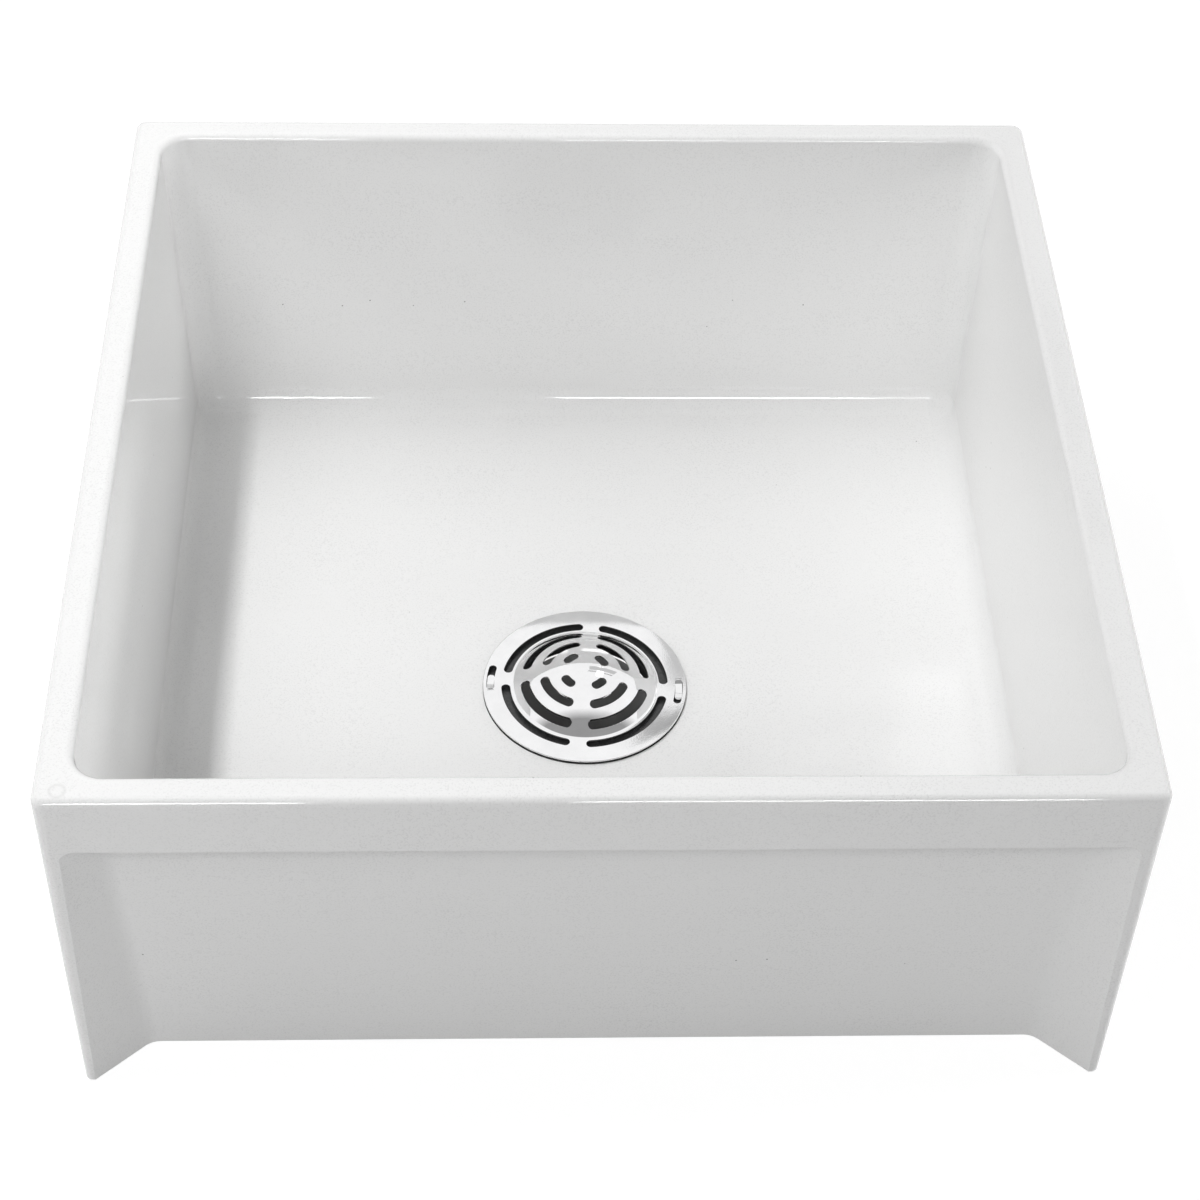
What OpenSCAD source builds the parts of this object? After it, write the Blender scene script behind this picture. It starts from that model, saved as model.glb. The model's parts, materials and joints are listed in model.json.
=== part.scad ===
// Mop service basin: a square sink that stands on the floor, moulded as one thin shell,
// with a low clamped drain for a 3 in waste pipe and a domed strainer that locks by a
// short turn. Millimetres. The origin is on the floor under the middle of the basin,
// +Z is up and the front is towards -Y.

/* [Basin] */
// Width of the basin over the rim, left to right
basin_w = 610; // [540:5:920]
// Depth of the basin over the rim, front to back
basin_d = 610; // [540:5:920]
// Height of the rim above the floor
basin_h = 257; // [200:1:320]
// Thickness of the moulded shell
wall_t = 5.5; // [4.5:0.25:6.5]
// Width of the rim, from the outside face to the line of the bowl's wall
rim_w = 19.5; // [18:0.5:30]
// Height of the lip that turns down from the rim
lip_h = 41.5; // [30:0.5:70]
// Draft of the outside faces, in degrees
skirt_draft = 0.3; // [0.1:0.1:1.2]
// Radius of the four outside corners at the rim
corner_r = 7.5; // [6.5:0.5:8]
// Radius of the four outside corners at the floor
corner_foot_r = 4.5; // [3:0.5:5]
// Rounding of the rim's outside edge
rim_edge_r = 5.5; // [3:0.5:6]

/* [Bowl] */
// Draft of the bowl's back and side walls, in degrees
bowl_draft = 1.75; // [1.25:0.25:3]
// Draft of the bowl's front wall, in degrees
front_draft = 3.25; // [1.5:0.25:3.5]
// Radius of the bowl's upright corners
bowl_corner_r = 18; // [18:0.5:26]
// Rounding where the bowl's walls meet its floor
floor_fillet_r = 17.5; // [10:0.5:17.5]
// Rounding of the bowl's top edge
bowl_edge_r = 5; // [2:0.5:7]
// Fall of the floor from the foot of the walls to the drain
floor_fall = 8; // [4:0.5:14]

/* [Corner legs] */
// Width of a leg's face just under the lip
leg_face_top = 10.5; // [9.5:0.5:16]
// Width of a leg's face at the floor
leg_face_foot = 6; // [6:0.5:9]
// Distance from the bowl's outside corner to the root of a leg
leg_root = 16.5; // [14:0.5:18]
// Rounding between a leg and the front of the bowl
leg_fillet_r = 14; // [6:1:18]
// Rounding of the upper corners of the recess under the lip
recess_r = 10; // [6:1:16]

/* [Underside ribs] */
// Thickness of the ribs under the floor
rib_t = 4; // [3:0.5:6]
// Greatest distance from rib to rib
rib_pitch = 62; // [56:2:120]

/* [Drain] */
// Outside diameter of the waste pipe
pipe_od = 88.9; // [84:0.1:90]
// Radial thickness of the rubber pipe seal
seal_w = 4; // [3:0.25:4.5]
// Height of the pipe seal
seal_h = 7.5; // [5:0.25:9]
// Radial thickness of the drain body's threaded tail
tail_w = 5.4; // [4.5:0.1:5.8]
// Thickness of the drain body's flange
flange_t = 1.6; // [1.2:0.1:2.2]
// Depth of the seat moulded in the bowl's floor
seat_depth = 4.5; // [4.4:0.1:6]
// Thickness of the bowl's floor under the seat
pad_t = 3.2; // [3:0.1:6]
// Thickness of the gasket under the drain body's flange
gasket_t = 1.2; // [1:0.1:1.3]
// Thickness of the rubber washer under the floor
washer_t = 1.2; // [1:0.1:2.5]
// Thickness of the slip washer on the locknut
slip_t = 0.5; // [0.4:0.1:1.2]
// Thickness of the locknut
locknut_t = 2.8; // [2.6:0.1:6]
// Gap between the locknut and the floor the basin stands on
ground_gap = 0.4; // [0.3:0.1:3]
// Height of the compression nut
nut_h = 4.2; // [4:0.1:4.4]

/* [Strainer] */
// Diameter of the strainer
strainer_d = 137.2; // [136:0.2:146]
// Thickness of the strainer's sheet
sheet_t = 1.2; // [0.8:0.1:1.4]
// Diameter of the dome where it leaves the flat flange
dome_d = 96; // [92:0.5:98]
// Rise of the dome above the flange
dome_rise = 14.8; // [10:0.1:24]
// Width of the slots
slot_w = 6.1; // [4:0.1:6.4]
// Distance between rows of slots
row_pitch = 12.8; // [11.4:0.1:13]
// Width of the four spokes between the slots
spoke_w = 10.8; // [8:0.1:12]
// Angle that the spokes stand clockwise of square, in degrees
spoke_turn = 6; // [0:0.5:12]
// Thickness of the rubber ring under the strainer's flange
cushion_t = 1.3; // [1.2:0.1:2]
// Radial width of the two locking tongues
tongue_w = 5.2; // [4:0.1:5.6]
// Angle that each tongue's opening spans, in degrees
tongue_span = 20; // [16:1:22]
// Turn that locks the strainer, in degrees
lock_turn = 14; // [10:1:14]

/* [Hidden] */
$fn = 96;

// Clearances
thread_gap = 0.15;      // round parts that screw or press together
pipe_gap = 0.25;        // waste pipe in its seal and in the compression nut
hole_gap = 0.6;         // drain tail in the hole through the floor
seat_gap = 0.8;         // drain flange in its seat
ring_gap = 0.2;         // loose rings on their seats
lock_gap = 0.3;         // above and below the locking lugs
tongue_gap = 0.4;       // tongue above the drain flange
rim_stand = 0.2;        // drain rim above the bowl's floor
row_gap = 2.15;         // flat sheet between the dome and the outermost slots
leg_lap = 0.6;          // how far a leg's solid laps over the edge of the recess beside it
cut = 1;                // how far a cut runs past the face it opens

// Steps in rounded corners and edges
corner_steps = 7;
fillet_steps = 7;
edge_steps = 4;
leg_steps = 4;
slot_steps = 12;
slot_end_steps = 7;

// Heights, from the ground up through the clamped drain to the bowl's floor
locknut_z = ground_gap;
slip_z = locknut_z + locknut_t;
washer_z = slip_z + slip_t;
pad_z = washer_z + washer_t;
seat_z = pad_z + pad_t;
flange_z = seat_z + gasket_t;
channel_z = flange_z + flange_t;
drain_z = seat_z + seat_depth;
floor_z = drain_z + floor_fall;
rim_z = drain_z + rim_stand;
cushion_z = rim_z;
sheet_z = cushion_z + cushion_t;
tail_lip_t = 1.4;
seal_z = locknut_z + tail_lip_t;
nut_z = seal_z + seal_h;

// Radii of the drain
pipe_r = pipe_od/2;
tail_ir = pipe_r + seal_w;
tail_or = tail_ir + tail_w;
tail_lip_r = pipe_r + 0.9;
hole_r = tail_or + hole_gap;
strainer_r = strainer_d/2;
body_r = strainer_r - 0.6;
body_rim_w = 1.2;
seat_r = body_r + seat_gap;
locknut_r = tail_or + 11;
hub_r = seat_r + 5;
bowl_drain_r = seat_r + 2;

// Strainer
dome_r = dome_d/2;
dome_ball_r = (dome_r*dome_r + dome_rise*dome_rise)/(2*dome_rise);
first_row_r = dome_r + row_gap + slot_w/2;
rows = 4;
tongue_ro = body_r - body_rim_w - 0.6;
tongue_ri = tongue_ro - tongue_w;
tongue_z = channel_z + tongue_gap;
lug_z = tongue_z + sheet_t + lock_gap;
lug_top_z = sheet_z - lock_gap;
lug_post_w = 3.2;
lug_span = 12;
end_gap = 2;            // degrees between a tongue's tip and the end of its opening

// Bowl and outside faces
under_rim_z = basin_h - max(wall_t, rim_edge_r + 0.5);
floor_slope = atan(floor_fall/(min(basin_w, basin_d)/2 - rim_w - floor_fillet_r - bowl_drain_r));
fillet_z = floor_z + floor_fillet_r*cos(floor_slope);

function face_in(z) = (basin_h - z)*tan(skirt_draft);
function bowl_in(z) = rim_w + (basin_h - z)*tan(bowl_draft);
function skin_in(z) = bowl_in(z) - wall_t;
function front_more(z) = (basin_h - z)*(tan(front_draft) - tan(bowl_draft));
function corner(z) = corner_foot_r + (corner_r - corner_foot_r)*z/(basin_h - rim_edge_r);
function leg_face(z) = leg_face_foot + (leg_face_top - leg_face_foot)*z/(basin_h - lip_h);

// A rounded rectangle, set in from the basin's overall outline on all sides.
function inset_loop(inset, r) = round_rect(basin_w/2 - inset, basin_d/2 - inset, r, 0);

// The same, with the front set in further to follow the bowl's front wall at height z.
function bowl_loop(z, inset, r) =
    let (more = front_more(z)/2) round_rect(basin_w/2 - inset, basin_d/2 - inset - more, r, more);

// The corner points of a rounded rectangle, anticlockwise from the right-hand side.
function round_rect(hx, hy, r, back) =
    [for (q = [0:3]) let (sx = q == 0 || q == 3 ? 1 : -1, sy = q < 2 ? 1 : -1)
        for (i = [0:corner_steps]) let (a = 90*q + 90*i/corner_steps)
            [sx*(hx - r) + r*cos(a), back + sy*(hy - r) + r*sin(a)]];

// An arc of points that rounds the corner b between a and c.
function round_corner(a, b, c, r, steps) =
    let (u = (a - b)/norm(a - b), v = (c - b)/norm(c - b), half = acos(u*v)/2,
         run = r/tan(half), hub = b + (u + v)/norm(u + v)*r/sin(half),
         from = b + u*run - hub, to = b + v*run - hub)
    [for (i = [0:steps]) let (m = from*(steps - i) + to*i) hub + m/norm(m)*r];

// A closed skin through a stack of loops, each given as [height, points].
module loft(rings) {
    n = len(rings[0][1]);
    last = len(rings) - 1;
    points = [for (g = rings) for (p = g[1]) [p[0], p[1], g[0]]];
    sides = [for (j = [0:last - 1]) for (i = [0:n - 1]) for (half = [0, 1])
                let (k = (i + 1)%n, low = j*n, high = low + n)
                half == 0 ? [low + i, high + i, high + k] : [low + i, high + k, low + k]];
    bottom = [for (i = [0:n - 1]) i];
    top = [for (i = [0:n - 1]) last*n + n - 1 - i];
    polyhedron(points = points, faces = concat([bottom], sides, [top]));
}

module ring(r_out, r_in, z, h) {
    translate([0, 0, z]) difference() {
        cylinder(r = r_out, h = h);
        translate([0, 0, -cut]) cylinder(r = r_in, h = h + 2*cut);
    }
}

// A wedge of the plane from one angle to another, wide enough to cut the drain's rings.
module sector(from, to) {
    reach = strainer_r + 10;
    polygon(concat([[0, 0]], [for (i = [0:4]) let (a = from + (to - from)*i/4) reach*[cos(a), sin(a)]]));
}

// A part of a ring between two angles.
module ring_part(r_out, r_in, z, h, from, to) {
    translate([0, 0, z]) linear_extrude(height = h) intersection() {
        difference() {
            circle(r = r_out);
            circle(r = r_in);
        }
        sector(from, to);
    }
}

// ---------------------------------------------------------------- basin

// Everything inside the outside faces, with the rounded rim edge.
module outside_form() {
    edge_z = basin_h - rim_edge_r;
    loft(concat(
        [[-cut, inset_loop(face_in(-cut), corner(-cut))]],
        [for (i = [0:edge_steps]) let (a = 90*i/edge_steps, pull = rim_edge_r*(1 - cos(a)))
            [edge_z + rim_edge_r*sin(a), inset_loop(face_in(edge_z) + pull, corner_r - pull)]]));
}

// The space inside the lip and under the rim.
module under_rim_space() {
    inner_r = max(corner_r - wall_t, 1);
    loft([for (z = [-2*cut, under_rim_z]) [z, inset_loop(face_in(z) + wall_t, inner_r)]]);
}

// The bowl's outside, down to the ground.
module bowl_skin() {
    top_z = basin_h - wall_t/2;
    loft([for (z = [-3*cut, top_z]) [z, bowl_loop(z, skin_in(z), bowl_corner_r + wall_t)]]);
}

// The room inside the bowl: floor, fillet, wall and rounded top edge.
module bowl_room() {
    edge_z = basin_h - bowl_edge_r;
    start = 90 - floor_slope;
    loft(concat(
        [[drain_z, round_rect(bowl_drain_r, bowl_drain_r, bowl_drain_r - cut, 0)]],
        [for (i = [0:fillet_steps])
            let (a = start - (start - bowl_draft)*i/fillet_steps,
                 z = fillet_z - floor_fillet_r*sin(a),
                 pull = floor_fillet_r*(1/cos(bowl_draft) - cos(a)))
            [z, bowl_loop(z, bowl_in(fillet_z) + pull, max(bowl_corner_r - pull, cut))]],
        [for (i = [0:edge_steps])
            let (a = bowl_draft + (90 - bowl_draft)*i/edge_steps,
                 z = edge_z + bowl_edge_r*sin(a),
                 flare = bowl_edge_r*(1/cos(bowl_draft) - cos(a)))
            [z, bowl_loop(z, bowl_in(edge_z) - flare, bowl_corner_r + flare)]],
        [[basin_h + cut, inset_loop(bowl_in(edge_z) - bowl_edge_r, bowl_corner_r + bowl_edge_r)]]));
}

// One face's recess, cut through the outside face below the lip.
module recess_cut(half_w, half_d) {
    top_z = basin_h - lip_h;
    wide = [for (z = [-2*cut, top_z]) half_w - face_in(z) - leg_face(z) + leg_lap];
    right = [wide[1], top_z];
    foot = [wide[0], -2*cut];
    arc = round_corner(foot, right, [0, top_z], recess_r, leg_steps);
    outline = concat([foot], arc, [for (i = [leg_steps:-1:0]) [-arc[i][0], arc[i][1]]], [[-foot[0], foot[1]]]);
    depth = wall_t + face_in(0) + cut;
    translate([0, -half_d + depth, 0]) rotate([90, 0, 0])
        linear_extrude(height = depth + cut) polygon(outline);
}

// The outline of the leg at the right-hand corner at one height; front is 1 for the front leg.
function leg_loop(z, front) =
    let (ox = basin_w/2 - face_in(z), oy = basin_d/2 - face_in(z),
         wx = basin_w/2 - skin_in(z), wy = basin_d/2 - skin_in(z) - front*front_more(z),
         f = leg_face(z), deep = bowl_corner_r + wall_t + leg_fillet_r,
         nose_y = [ox - f, oy], nose_x = [ox, oy - f],
         root_y = [wx - leg_root, wy], root_x = [wx, wy - leg_root],
         far_y = [wx - deep, wy], far_x = [wx, wy - deep])
    concat([for (i = [0:corner_steps]) let (a = 90*i/corner_steps, r = corner(z))
                [ox - r + r*cos(a), oy - r + r*sin(a)]],
           [nose_y],
           round_corner(nose_y, root_y, far_y, leg_fillet_r, leg_steps),
           [far_y, [wx - deep, wy - deep], far_x],
           round_corner(far_x, root_x, nose_x, leg_fillet_r, leg_steps),
           [nose_x]);

// The slot that hollows the same leg, at one height.
function leg_core_loop(z, front) =
    let (ox = basin_w/2 - face_in(z) - 1.3*wall_t, oy = basin_d/2 - face_in(z) - 1.3*wall_t,
         back = skin_in(z) + 1.2*wall_t,
         wx = basin_w/2 - back, wy = basin_d/2 - back - front*front_more(z),
         tip = 0.6, root = leg_root/2 - wall_t/sqrt(2))
    [[ox + tip, oy - tip], [ox - tip, oy + tip], [wx - root, wy + root], [wx + root, wy - root]];

module legs() {
    for (left = [0, 1], front = [0, 1]) mirror([left, 0, 0]) mirror([0, front, 0])
        loft([for (z = [-2*cut, basin_h - rim_edge_r]) [z, leg_loop(z, front)]]);
}

module leg_cores() {
    for (left = [0, 1], front = [0, 1]) mirror([left, 0, 0]) mirror([0, front, 0])
        loft([for (z = [-4*cut, under_rim_z]) [z, leg_core_loop(z, front)]]);
}

// The room under the bowl's floor, before the ribs are left standing in it.
module under_floor_space() {
    under_z = floor_z - wall_t;
    hub_z = drain_z - wall_t;
    foot = bowl_in(0) + 1;
    knee = bowl_in(0) + 3;
    shoulder = bowl_in(under_z) + 0.8*floor_fillet_r;
    loft([[-5*cut, bowl_loop(0, foot, bowl_corner_r)],
          [under_z*0.4, bowl_loop(0, knee, bowl_corner_r - 2)],
          [under_z, bowl_loop(0, shoulder, bowl_corner_r/2)],
          [hub_z, round_rect(hub_r, hub_r, hub_r - cut, 0)]]);
}

module ribs() {
    for (across = [0, 1]) {
        span = across == 0 ? basin_w : basin_d;
        other = across == 0 ? basin_d : basin_w;
        count = ceil((span/2 - bowl_in(0) - rib_pitch/2)/rib_pitch);
        pitch = (span/2 - bowl_in(0))/(count + 0.5);
        for (i = [0:count], side = [-1, 1])
            rotate([0, 0, 90*across]) translate([side*(i + 0.5)*pitch - rib_t/2, -other/2, -cut])
                cube([rib_t, other, floor_z]);
    }
}

// Ribs, the ring they run into round the drain, and the boss that carries the seat.
module kept_under_floor() {
    difference() {
        ribs();
        translate([0, 0, -cut]) cylinder(r = hub_r, h = floor_z);
    }
    ring(hub_r + rib_t, hub_r, -2*cut, drain_z);
    translate([0, 0, pad_z]) cylinder(r = hub_r + rib_t/2, h = seat_depth + pad_t - cut);
}

module basin() {
    color([0.93, 0.93, 0.92]) difference() {
        union() {
            difference() {
                outside_form();
                under_rim_space();
                for (back = [0, 1]) {
                    rotate([0, 0, 180*back]) recess_cut(basin_w/2, basin_d/2);
                    rotate([0, 0, 90 + 180*back]) recess_cut(basin_d/2, basin_w/2);
                }
            }
            bowl_skin();
            legs();
        }
        bowl_room();
        leg_cores();
        difference() {
            under_floor_space();
            kept_under_floor();
        }
        translate([0, 0, seat_z]) cylinder(r = seat_r, h = seat_depth + cut);
        translate([0, 0, -cut]) cylinder(r = hole_r, h = seat_z + 2*cut);
        translate([-basin_w, -basin_d, -basin_h]) cube([2*basin_w, 2*basin_d, basin_h]);
    }
}

// ---------------------------------------------------------------- clamped drain

// The hooks that the strainer's tongues slide under, inside the drain body's rim.
module locking_lugs() {
    post_ro = tongue_ri - 0.6;
    post_ri = post_ro - lug_post_w;
    arm_ro = tongue_ro - 0.8;
    start = -spoke_turn - tongue_span/2 - lug_span - 0.5;
    for (half = [0, 180]) rotate([0, 0, half]) {
        ring_part(post_ro, post_ri, channel_z - flange_t/2, lug_top_z - channel_z + flange_t/2, start, start + lug_span);
        ring_part(arm_ro, post_ri, lug_z, lug_top_z - lug_z, start, start + lug_span);
    }
}

module drain_body() {
    color([0.07, 0.07, 0.075]) {
        difference() {
            union() {
                translate([0, 0, flange_z]) cylinder(r = body_r, h = rim_z - flange_z);
                translate([0, 0, locknut_z]) cylinder(r = tail_or, h = flange_z - locknut_z + flange_t/2);
            }
            ring(body_r - body_rim_w, 0.5, channel_z, rim_z - channel_z + cut);
            translate([0, 0, seal_z]) cylinder(r = tail_ir, h = rim_z);
            translate([0, 0, locknut_z - cut]) cylinder(r = tail_lip_r, h = rim_z);
        }
        locking_lugs();
    }
}

module drain_flange_gasket() {
    color([0.1, 0.1, 0.1]) ring(body_r, hole_r, seat_z, gasket_t);
}

module underside_washer() {
    color([0.1, 0.1, 0.1]) ring(locknut_r, tail_or + hole_gap, washer_z, washer_t);
}

module slip_washer() {
    color([0.72, 0.62, 0.45]) ring(locknut_r, tail_or + hole_gap, slip_z, slip_t);
}

module locknut() {
    grips = 8;
    color([0.09, 0.09, 0.1]) difference() {
        ring(locknut_r, tail_or + thread_gap, locknut_z, locknut_t);
        for (i = [0:grips - 1]) rotate([0, 0, 360*i/grips])
            translate([locknut_r + 2, 0, locknut_z - cut]) cylinder(r = 8, h = locknut_t + 2*cut);
    }
}

module pipe_seal() {
    lead = 1.2;
    grooves = 2;
    seal_ro = tail_ir - thread_gap;
    color([0.08, 0.08, 0.08]) difference() {
        ring(seal_ro, pipe_r + pipe_gap, seal_z, seal_h);
        for (i = [1:grooves])
            ring(seal_ro + cut, seal_ro - lead, seal_z + seal_h*i/(grooves + 1) - lead/2, lead);
    }
}

module compression_nut() {
    nut_r = tail_ir - thread_gap;
    notch_w = 9;
    notch_d = 2;
    color([0.1, 0.1, 0.11]) difference() {
        ring(nut_r, pipe_r + pipe_gap, nut_z, nut_h);
        for (a = [45:90:315]) rotate([0, 0, a]) translate([0, -notch_w/2, nut_z + nut_h - notch_d])
            cube([nut_r + cut, notch_w, notch_d + cut]);
    }
}

// ---------------------------------------------------------------- strainer

module strainer_cushion_ring() {
    color([0.06, 0.06, 0.06])
        ring(strainer_r - ring_gap, body_r - body_rim_w - 0.1, cushion_z, cushion_t);
}

// Points along an arc about a centre, from one angle to another.
function arc_points(centre, r, from, to, steps) =
    [for (i = [0:steps]) let (a = from + (to - from)*i/steps) centre + r*[cos(a), sin(a)]];

// The outline of a slot along an arc, with round ends.
function slot_outline(r, w, from, to) = concat(
    arc_points([0, 0], r + w/2, from, to, slot_steps),
    arc_points(r*[cos(to), sin(to)], w/2, to + 20, to + 160, slot_end_steps),
    arc_points([0, 0], r - w/2, to, from, slot_steps),
    arc_points(r*[cos(from), sin(from)], w/2, from + 200, from + 340, slot_end_steps));

// Four slots between the spokes, all on one radius.
module slot_row(r) {
    lead = asin((spoke_w + slot_w)/2/r);
    for (q = [0:3]) rotate(90*q) polygon(slot_outline(r, slot_w, lead, 90 - lead));
}

// The opening that a tongue is lanced from.
module tongue_opening() {
    middle = (tongue_ro + tongue_ri)/2;
    reach = tongue_span/2 - asin(tongue_w/2/middle);
    translate([0, 0, sheet_z - cut]) linear_extrude(height = sheet_t + 2*cut)
        polygon(slot_outline(middle, tongue_w, -reach, reach));
}

// The strainer's sheet before it is pierced: a flat flange that runs into a dome.
module strainer_sheet() {
    flat_r = sqrt(pow(dome_ball_r - sheet_t, 2) - pow(dome_ball_r - sheet_t - dome_rise, 2));
    translate([0, 0, sheet_z]) rotate_extrude() {
        translate([flat_r, 0]) square([strainer_r - flat_r, sheet_t]);
        intersection() {
            translate([0, sheet_t + dome_rise - dome_ball_r]) difference() {
                circle(r = dome_ball_r);
                circle(r = dome_ball_r - sheet_t);
            }
            square([dome_r + 2*sheet_t, dome_rise + 2*sheet_t]);
        }
    }
}

// A tongue lanced from the flange and stepped down, its tip pointing clockwise.
module tongue() {
    near = tongue_span/2;
    riser = asin(sheet_t/tongue_ro);
    ring_part(tongue_ro, tongue_ri, tongue_z, sheet_t, -near + end_gap, near + 0.2);
    ring_part(tongue_ro, tongue_ri, tongue_z, sheet_z + sheet_t - tongue_z, near - riser, near + 0.2);
}

module dome_strainer() {
    color([0.86, 0.87, 0.88]) rotate([0, 0, -spoke_turn]) {
        difference() {
            strainer_sheet();
            translate([0, 0, sheet_z - cut]) linear_extrude(height = dome_rise + 3*cut)
                for (k = [0:rows - 1]) slot_row(first_row_r - k*row_pitch);
            for (half = [0, 180]) rotate([0, 0, half]) tongue_opening();
        }
        for (half = [0, 180]) rotate([0, 0, half]) tongue();
    }
}

basin();
drain_body();
drain_flange_gasket();
underside_washer();
slip_washer();
locknut();
pipe_seal();
compression_nut();
strainer_cushion_ring();
dome_strainer();
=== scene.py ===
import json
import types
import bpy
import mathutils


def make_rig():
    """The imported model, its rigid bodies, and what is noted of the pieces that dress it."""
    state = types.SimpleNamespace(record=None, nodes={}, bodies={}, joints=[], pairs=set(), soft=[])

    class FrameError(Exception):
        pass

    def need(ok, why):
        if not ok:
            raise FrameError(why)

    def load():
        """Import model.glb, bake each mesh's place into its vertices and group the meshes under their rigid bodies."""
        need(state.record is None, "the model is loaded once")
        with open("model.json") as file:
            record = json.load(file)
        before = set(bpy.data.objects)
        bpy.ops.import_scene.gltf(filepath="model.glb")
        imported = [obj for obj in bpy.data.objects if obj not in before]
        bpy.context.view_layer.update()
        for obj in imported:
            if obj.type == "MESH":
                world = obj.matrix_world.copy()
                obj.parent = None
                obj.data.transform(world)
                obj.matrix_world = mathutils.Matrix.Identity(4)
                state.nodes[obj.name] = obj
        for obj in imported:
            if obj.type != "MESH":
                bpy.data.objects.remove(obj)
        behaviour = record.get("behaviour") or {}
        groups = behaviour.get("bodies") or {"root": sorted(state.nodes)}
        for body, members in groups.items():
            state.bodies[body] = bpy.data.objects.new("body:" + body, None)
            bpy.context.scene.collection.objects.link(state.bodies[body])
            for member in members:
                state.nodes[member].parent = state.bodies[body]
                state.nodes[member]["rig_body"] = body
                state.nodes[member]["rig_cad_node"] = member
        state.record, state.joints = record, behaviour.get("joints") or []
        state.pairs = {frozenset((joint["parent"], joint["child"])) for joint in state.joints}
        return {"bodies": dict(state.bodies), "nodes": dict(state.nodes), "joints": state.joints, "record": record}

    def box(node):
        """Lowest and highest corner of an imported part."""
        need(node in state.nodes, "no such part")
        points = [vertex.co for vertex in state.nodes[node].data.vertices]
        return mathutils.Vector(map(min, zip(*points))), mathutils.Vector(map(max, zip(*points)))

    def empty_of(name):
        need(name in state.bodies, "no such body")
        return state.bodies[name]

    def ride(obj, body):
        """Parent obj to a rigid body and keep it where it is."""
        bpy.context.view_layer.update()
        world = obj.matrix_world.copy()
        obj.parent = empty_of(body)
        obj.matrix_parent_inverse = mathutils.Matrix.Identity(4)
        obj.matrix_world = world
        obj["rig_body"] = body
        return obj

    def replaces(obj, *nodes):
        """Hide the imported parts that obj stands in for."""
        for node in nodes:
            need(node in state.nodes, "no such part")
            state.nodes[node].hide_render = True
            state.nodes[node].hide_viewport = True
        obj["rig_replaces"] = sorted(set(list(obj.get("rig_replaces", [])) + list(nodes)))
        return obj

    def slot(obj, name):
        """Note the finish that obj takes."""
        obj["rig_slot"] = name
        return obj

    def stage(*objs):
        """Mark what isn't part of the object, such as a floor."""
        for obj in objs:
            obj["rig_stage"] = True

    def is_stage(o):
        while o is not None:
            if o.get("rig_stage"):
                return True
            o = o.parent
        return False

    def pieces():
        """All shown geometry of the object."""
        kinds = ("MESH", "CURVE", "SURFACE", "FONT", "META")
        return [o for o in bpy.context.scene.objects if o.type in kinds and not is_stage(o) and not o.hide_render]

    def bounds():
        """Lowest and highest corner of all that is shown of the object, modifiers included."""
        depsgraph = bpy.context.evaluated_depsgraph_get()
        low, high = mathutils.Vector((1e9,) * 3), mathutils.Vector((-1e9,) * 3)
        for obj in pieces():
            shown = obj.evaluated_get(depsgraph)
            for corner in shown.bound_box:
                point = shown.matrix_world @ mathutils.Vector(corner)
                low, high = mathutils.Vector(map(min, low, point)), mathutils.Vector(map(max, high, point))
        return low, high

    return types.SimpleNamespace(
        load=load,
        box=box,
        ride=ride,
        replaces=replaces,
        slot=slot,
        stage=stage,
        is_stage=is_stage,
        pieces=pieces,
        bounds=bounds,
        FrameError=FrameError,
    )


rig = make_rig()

bl_info = {
    "name": "Mop basin",
    "version": (1, 0, 0),
    "blender": (4, 5, 0),
    "location": "View3D > Sidebar > Mop basin",
    "description": "Dresses a floor-standing mop basin, its drain and its strainer, and lights them",
    "category": "Object",
}

import json
import math

import bmesh
import bpy
from bpy.props import FloatProperty, FloatVectorProperty, PointerProperty
from bpy.types import Operator, Panel, PropertyGroup
from mathutils import Matrix, Vector

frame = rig.load()

BASIN_LOW, BASIN_HIGH = (Vector(corner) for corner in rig.box("basin"))
STRAINER_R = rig.box("dome_strainer")[1][0]
SEAT_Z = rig.box("drain_flange_gasket")[0][2]

MM = 0.001

# The faint round mould mark on the rim's front left corner
MARK_AT = (-0.2907, -0.2963, BASIN_HIGH.z)
MARK_R, MARK_WIDTH = 0.0042, 0.0014

# How a tongue comes down from the sheet: (run along it, share of the step), and how far its tip stops short
TONGUE_FALL = ((0.0, 0.0), (0.0008, 0.10), (0.0022, 0.62), (0.0030, 0.72), (0.0066, 0.94), (0.0100, 1.0),
               (1.0, 1.0))
TONGUE_TIP = math.radians(5.5)

TONGUE_GAP = 0.0001  # free on either side of a tongue
TONGUE_ROOT = 0.01  # radians that a tongue's upper end runs into the sheet

# Edges that are rounded last: the slots' and the tongues'
SLOT_EDGE, TONGUE_EDGE = 0.00038, 0.0002

# Level floor outside the drain's seat, and how far outside the seat the ring under the floor stands
SEAT_MARGIN, RING_MARGIN = 0.002, 0.005

# How high the cutters reach that open the floor, and how far the sheet's reach past the flange and the dome
FLOOR_CUT, SHEET_CUT, DOME_CUT = 0.02, 0.006, 0.01

CAMERA_AT = (-0.05356, -1.22188, 1.35196)
CAMERA_TURN = (44.24807, -1.37940, -1.48672)  # degrees
SENSOR = 36.0  # mm

FLOOR_Z, FLOOR_REACH = -0.0002, 7.0
FLOOR_TONE, FLOOR_BOUNCE, FLOOR_GLOW = 0.20, 0.75, 0.88  # as lit, as it lights the basin, and by itself
PIPE_R, PIPE_END, PIPE_TONE = 0.0445, -0.30, 0.55
CARD_Y = 1.5
MIRROR_RAMP = ((0.42, 0.33), (0.505, 1.0))  # the room in a mirror, from front to back: (place, grey)


# ---------------------------------------------------------------- settings


def length(label, text, default, low=0.0, high=1.0):
    return FloatProperty(name=label, description=text, default=default, min=low, max=high,
                         subtype="DISTANCE", unit="LENGTH", precision=5)


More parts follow.
